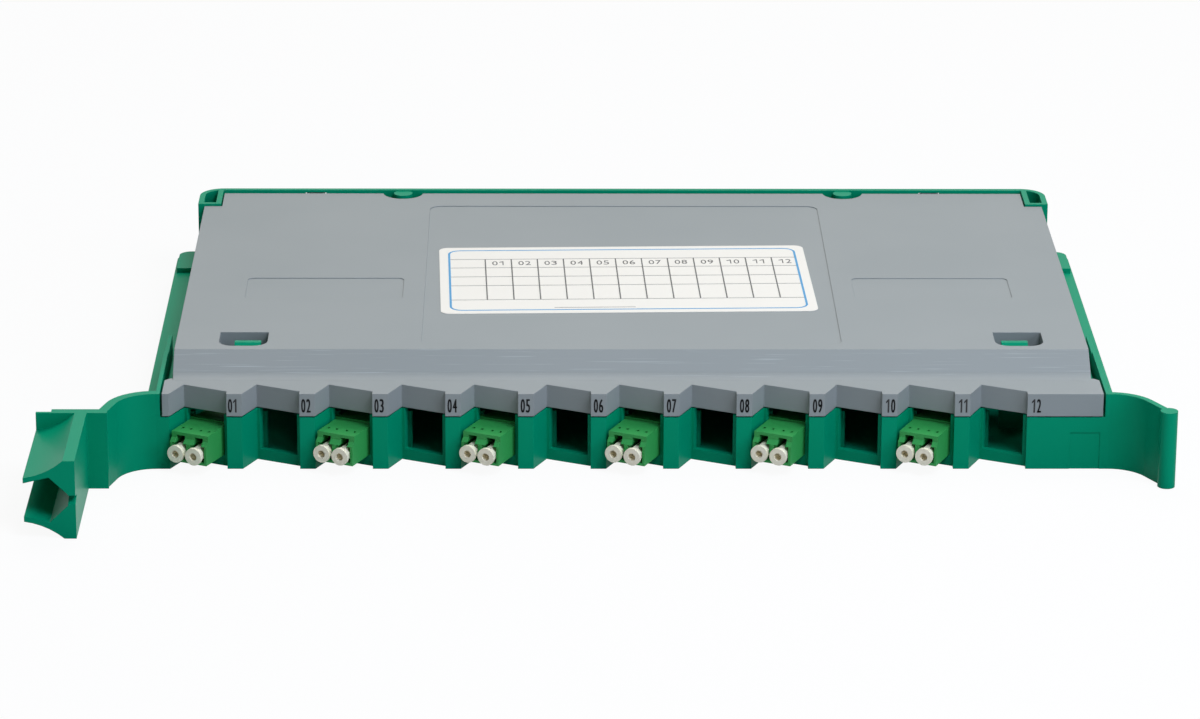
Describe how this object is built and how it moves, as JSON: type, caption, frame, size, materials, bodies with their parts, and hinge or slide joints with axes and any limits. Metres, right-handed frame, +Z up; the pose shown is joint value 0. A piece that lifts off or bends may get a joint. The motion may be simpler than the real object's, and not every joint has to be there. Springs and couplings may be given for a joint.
{
  "type": "fibre splice tray",
  "caption": "Shallow fibre splice tray with a hinged cover, a saw-tooth row of adapter bays along the front, side rails, a curved arm and a pull grip.",
  "frame": {"origin": "centre of the underside, midway between the tooth fronts and the rear wall", "axes": "+X along the bays to the right seen from the front, +Y from the bays to the rear wall, +Z up"},
  "size_m": [0.349, 0.2509, 0.0317],
  "materials": {
    "tray_green": "satin moulded green plastic",
    "cover_grey": "satin moulded grey plastic",
    "label_paper": "printed paper",
    "holder_white": "plain moulded plastic",
    "adapter_green": "smooth moulded plastic",
    "sleeve_ceramic": "polished ceramic",
    "cap_white": "soft moulded plastic"
  },
  "bodies": {
    "base": {"base_tray": "tray_green", "splice_holder": "holder_white", "adapter_01": "adapter_green", "ferrule_sleeve_01_left": "sleeve_ceramic", "inner_cap_01_left": "cap_white", "ferrule_sleeve_01_right": "sleeve_ceramic", "inner_cap_01_right": "cap_white", "adapter_03": "adapter_green", "ferrule_sleeve_03_left": "sleeve_ceramic", "inner_cap_03_left": "cap_white", "ferrule_sleeve_03_right": "sleeve_ceramic", "inner_cap_03_right": "cap_white", "adapter_05": "adapter_green", "ferrule_sleeve_05_left": "sleeve_ceramic", "inner_cap_05_left": "cap_white", "ferrule_sleeve_05_right": "sleeve_ceramic", "inner_cap_05_right": "cap_white", "adapter_07": "adapter_green", "ferrule_sleeve_07_left": "sleeve_ceramic", "inner_cap_07_left": "cap_white", "ferrule_sleeve_07_right": "sleeve_ceramic", "inner_cap_07_right": "cap_white", "adapter_09": "adapter_green", "ferrule_sleeve_09_left": "sleeve_ceramic", "inner_cap_09_left": "cap_white", "ferrule_sleeve_09_right": "sleeve_ceramic", "inner_cap_09_right": "cap_white", "adapter_11": "adapter_green", "ferrule_sleeve_11_left": "sleeve_ceramic", "inner_cap_11_left": "cap_white", "ferrule_sleeve_11_right": "sleeve_ceramic", "inner_cap_11_right": "cap_white"},
    "cover": {"top_cover": "cover_grey", "routing_label": "label_paper"},
    "cap_01_left": {"outer_cap_01_left": "cap_white"},
    "cap_01_right": {"outer_cap_01_right": "cap_white"},
    "cap_03_left": {"outer_cap_03_left": "cap_white"},
    "cap_03_right": {"outer_cap_03_right": "cap_white"},
    "cap_05_left": {"outer_cap_05_left": "cap_white"},
    "cap_05_right": {"outer_cap_05_right": "cap_white"},
    "cap_07_left": {"outer_cap_07_left": "cap_white"},
    "cap_07_right": {"outer_cap_07_right": "cap_white"},
    "cap_09_left": {"outer_cap_09_left": "cap_white"},
    "cap_09_right": {"outer_cap_09_right": "cap_white"},
    "cap_11_left": {"outer_cap_11_left": "cap_white"},
    "cap_11_right": {"outer_cap_11_right": "cap_white"}
  },
  "joints": [
    {"name": "cover_hinge", "type": "hinge", "parent": "base", "child": "cover", "pos_m": [0, 0.092, 0.0298], "axis": [-1, 0, 0], "range_deg": [0, 60]},
    {"name": "cap_01_left_pull", "type": "slide", "parent": "base", "child": "cap_01_left", "axis": [-0.4226, -0.9063, 0], "range_m": [0, 0.012]},
    {"name": "cap_01_right_pull", "type": "slide", "parent": "base", "child": "cap_01_right", "axis": [-0.4226, -0.9063, 0], "range_m": [0, 0.012]},
    {"name": "cap_03_left_pull", "type": "slide", "parent": "base", "child": "cap_03_left", "axis": [-0.4226, -0.9063, 0], "range_m": [0, 0.012]},
    {"name": "cap_03_right_pull", "type": "slide", "parent": "base", "child": "cap_03_right", "axis": [-0.4226, -0.9063, 0], "range_m": [0, 0.012]},
    {"name": "cap_05_left_pull", "type": "slide", "parent": "base", "child": "cap_05_left", "axis": [-0.4226, -0.9063, 0], "range_m": [0, 0.012]},
    {"name": "cap_05_right_pull", "type": "slide", "parent": "base", "child": "cap_05_right", "axis": [-0.4226, -0.9063, 0], "range_m": [0, 0.012]},
    {"name": "cap_07_left_pull", "type": "slide", "parent": "base", "child": "cap_07_left", "axis": [-0.4226, -0.9063, 0], "range_m": [0, 0.012]},
    {"name": "cap_07_right_pull", "type": "slide", "parent": "base", "child": "cap_07_right", "axis": [-0.4226, -0.9063, 0], "range_m": [0, 0.012]},
    {"name": "cap_09_left_pull", "type": "slide", "parent": "base", "child": "cap_09_left", "axis": [-0.4226, -0.9063, 0], "range_m": [0, 0.012]},
    {"name": "cap_09_right_pull", "type": "slide", "parent": "base", "child": "cap_09_right", "axis": [-0.4226, -0.9063, 0], "range_m": [0, 0.012]},
    {"name": "cap_11_left_pull", "type": "slide", "parent": "base", "child": "cap_11_left", "axis": [-0.4226, -0.9063, 0], "range_m": [0, 0.012]},
    {"name": "cap_11_right_pull", "type": "slide", "parent": "base", "child": "cap_11_right", "axis": [-0.4226, -0.9063, 0], "range_m": [0, 0.012]}
  ]
}
